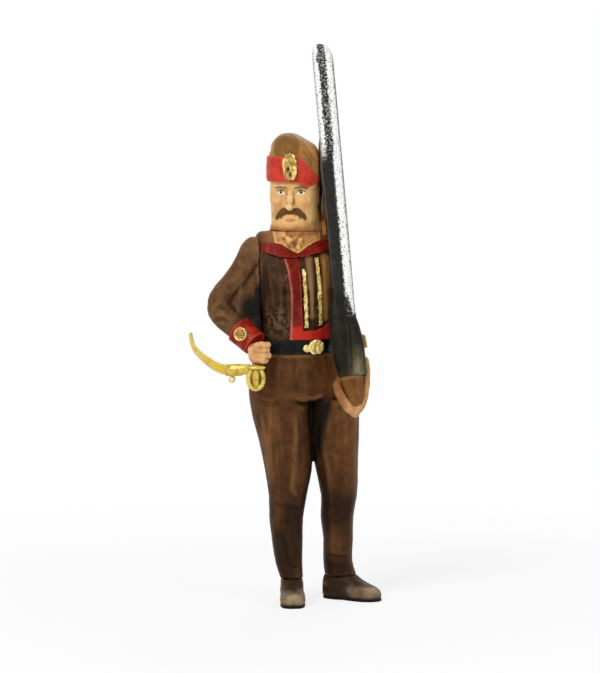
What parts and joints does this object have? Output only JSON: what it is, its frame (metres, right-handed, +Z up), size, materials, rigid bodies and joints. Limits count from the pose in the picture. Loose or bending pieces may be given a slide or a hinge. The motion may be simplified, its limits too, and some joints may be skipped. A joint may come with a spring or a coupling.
{
  "type": "toy soldier figure",
  "caption": "Painted cast-metal toy soldier in a brown uniform with red trim and cap, rifle at the left shoulder and sabre at the hip; the head turns and both arms swing.",
  "frame": {"origin": "on the floor under the middle of the figure's bounding box", "axes": "+Z up to the muzzle, -Y to the figure's front, +X to the figure's left"},
  "size_m": [0.0232, 0.0127, 0.0665],
  "materials": {
    "brown_paint": "satin brown paint over cast metal, darker in the folds",
    "red_paint": "satin red paint",
    "gold_paint": "gold paint, slightly glossy",
    "flesh_paint": "satin flesh paint, darker in the hollows",
    "black_paint": "satin black paint",
    "silver_paint": "silver paint, brushed on",
    "cap_paint": "satin olive brown paint",
    "hair_paint": "satin grey brown paint",
    "moustache_paint": "satin brown paint",
    "boot_paint": "satin grey brown paint",
    "stock_paint": "satin wood brown paint",
    "pin_brass": "plain drawn brass, hidden"
  },
  "bodies": {
    "figure": {"jacket": "brown_paint", "collar": "red_paint", "neckcloth": "flesh_paint", "front_edging": "red_paint", "chest_cords": "gold_paint", "belt": "black_paint", "belt_buckle": "gold_paint", "trouser_seat": "brown_paint", "right_leg": "brown_paint", "left_leg": "brown_paint", "right_boot": "boot_paint", "left_boot": "boot_paint", "waist_dowel": "pin_brass", "hip_dowels": "pin_brass", "ankle_dowels": "pin_brass"},
    "head": {"head": "flesh_paint", "hair": "hair_paint", "moustache": "moustache_paint", "cap_crown": "cap_paint", "cap_band": "red_paint", "cap_badge": "gold_paint", "neck_pin": "pin_brass"},
    "rifle_arm": {"left_sleeve": "brown_paint", "left_cuff": "red_paint", "left_cuff_button": "gold_paint", "left_hand": "flesh_paint", "rifle_barrel": "silver_paint", "rifle_lock": "black_paint", "rifle_forestock": "stock_paint", "rifle_butt": "stock_paint", "left_shoulder_stud": "pin_brass"},
    "sabre_arm": {"right_sleeve": "brown_paint", "right_cuff": "red_paint", "right_cuff_button": "gold_paint", "right_hand": "flesh_paint", "scabbard": "gold_paint", "scabbard_locket": "gold_paint", "sabre_guard": "gold_paint", "right_shoulder_stud": "pin_brass"}
  },
  "joints": [
    {"name": "head_turn", "type": "hinge", "parent": "figure", "child": "head", "pos_m": [0.0011, 0.0021, 0.04462], "axis": [0, 0, 1], "range_deg": [-10, 16]},
    {"name": "rifle_arm_swing", "type": "hinge", "parent": "figure", "child": "rifle_arm", "pos_m": [0.0011, 0.0021, 0.0419], "axis": [-1, 0, 0], "range_deg": [0, 60]},
    {"name": "sabre_arm_swing", "type": "hinge", "parent": "figure", "child": "sabre_arm", "pos_m": [0.0011, 0.0021, 0.0419], "axis": [-0.9781, -0.2079, 0], "range_deg": [0, 60]}
  ]
}
